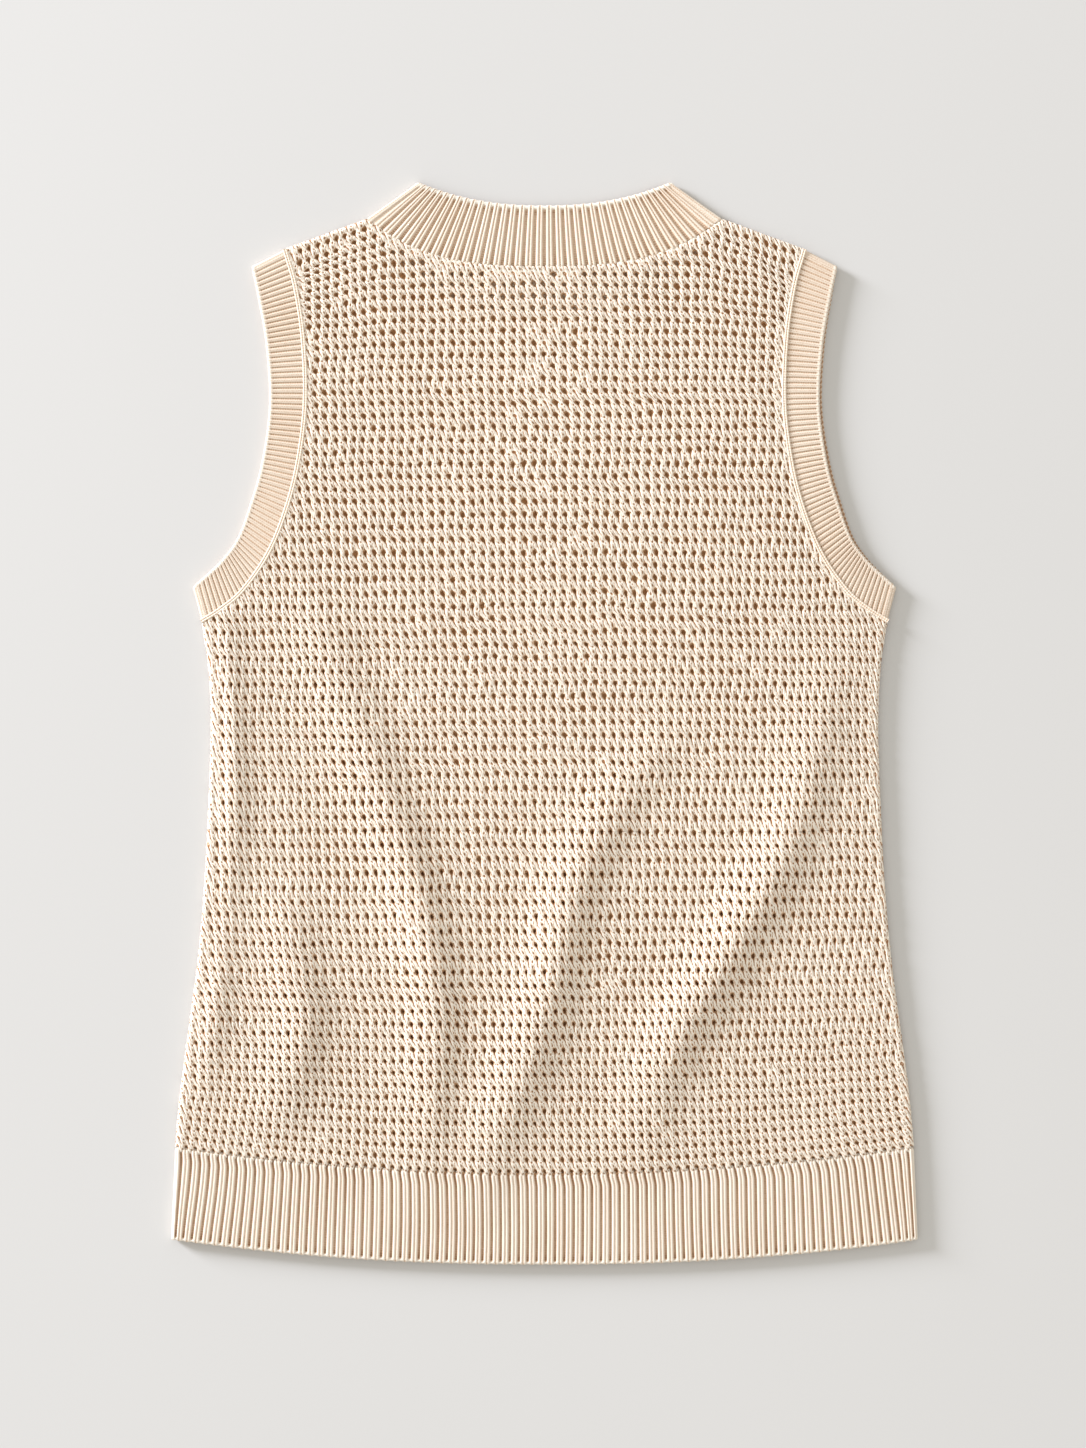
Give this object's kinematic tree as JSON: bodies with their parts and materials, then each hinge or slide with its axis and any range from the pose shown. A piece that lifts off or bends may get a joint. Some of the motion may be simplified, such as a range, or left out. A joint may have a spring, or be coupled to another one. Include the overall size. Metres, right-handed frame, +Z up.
{
  "type": "sleeveless knit top",
  "caption": "Sleeveless openwork knit top laid flat face down, back upwards, with ribbed neck band, armhole bands and hem.",
  "frame": {"origin": "on the surface the top lies on, under the middle of its outline", "axes": "+Z up from the surface, +Y from the hem to the neck, +X to the right of someone looking down at the back"},
  "size_m": [0.478, 0.6922, 0.0121],
  "materials": {
    "mesh_knit": "cream cotton yarn in an openwork mesh knit, soft and matt",
    "wide_rib": "cream cotton yarn in a wide two by one rib, soft and matt",
    "fine_rib": "cream cotton yarn in a fine one by one rib, soft and matt"
  },
  "bodies": {
    "root": {"back_panel": "mesh_knit", "front_panel": "mesh_knit", "hem_rib_back": "wide_rib", "hem_rib_front": "wide_rib", "neck_band": "wide_rib", "armhole_band_left": "fine_rib", "armhole_band_right": "fine_rib"}
  },
  "joints": []
}
